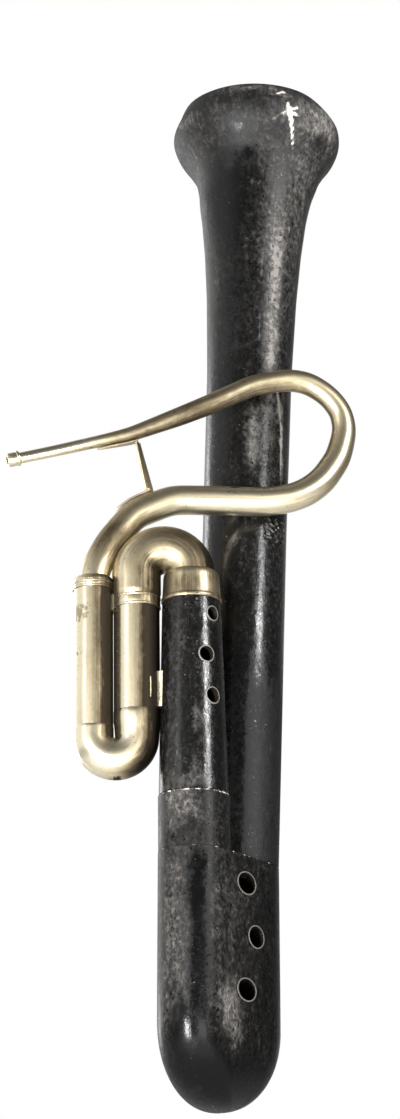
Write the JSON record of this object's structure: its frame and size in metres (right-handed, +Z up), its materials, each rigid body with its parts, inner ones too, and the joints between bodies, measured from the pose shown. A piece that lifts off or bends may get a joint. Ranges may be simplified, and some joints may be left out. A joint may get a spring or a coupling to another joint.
{
  "type": "upright serpent",
  "caption": "Leather-covered upright serpent with a rounded wooden butt, a straight bell joint, brass bows beside the wing joint and a looped brass crook.",
  "frame": {"origin": "lowest point of the rounded butt, halfway along it", "axes": "+Z up the instrument as it stands in the picture, +X to the viewer's right, +Y away from the viewer"},
  "size_m": [0.2869, 0.1969, 0.8849],
  "materials": {
    "wood": "oiled",
    "leather": "worn, satin",
    "brass": "old polish",
    "horn": "satin horn",
    "thread": "waxed",
    "iron": "dark"
  },
  "bodies": {
    "butt": {"butt_front_half": "wood", "butt_rear_half": "wood", "butt_leather": "leather", "wing_socket_leather": "leather", "finger_bush_4": "horn", "finger_bush_5": "horn", "finger_bush_6": "horn"},
    "wing": {"wing_joint": "wood", "wing_joint_leather": "leather", "wing_tenon_lapping": "thread", "wing_ferrule": "brass", "ferrule_nail": "iron", "leather_nail": "iron", "finger_bush_1": "horn", "finger_bush_2": "horn", "finger_bush_3": "horn", "upper_bow": "brass", "upper_bow_ring": "brass", "down_tube": "brass", "lower_bow": "brass", "up_tube": "brass", "crook_socket": "brass", "leg_spacer": "brass", "wing_stay": "brass"},
    "crook": {"crook": "brass", "crook_tenon_lapping": "thread", "mouth_sleeve": "brass", "crook_stay": "brass"},
    "bell": {"bell_joint": "wood", "bell_joint_leather": "leather", "bell_tenon_lapping": "thread", "crook_pad": "leather"}
  },
  "joints": [
    {"name": "wing_joint_draw", "type": "slide", "parent": "butt", "child": "wing", "axis": [-0.012, -0.0208, 0.9997], "range_m": [0, 0.038]},
    {"name": "bell_joint_draw", "type": "slide", "parent": "butt", "child": "bell", "axis": [0.0339, 0.0588, 0.9977], "range_m": [0, 0.04]},
    {"name": "crook_swivel", "type": "hinge", "parent": "wing", "child": "crook", "pos_m": [-0.09853, -0.03504, 0.4158], "axis": [-0.012, -0.0208, 0.9997], "range_deg": [-40, 0]}
  ]
}
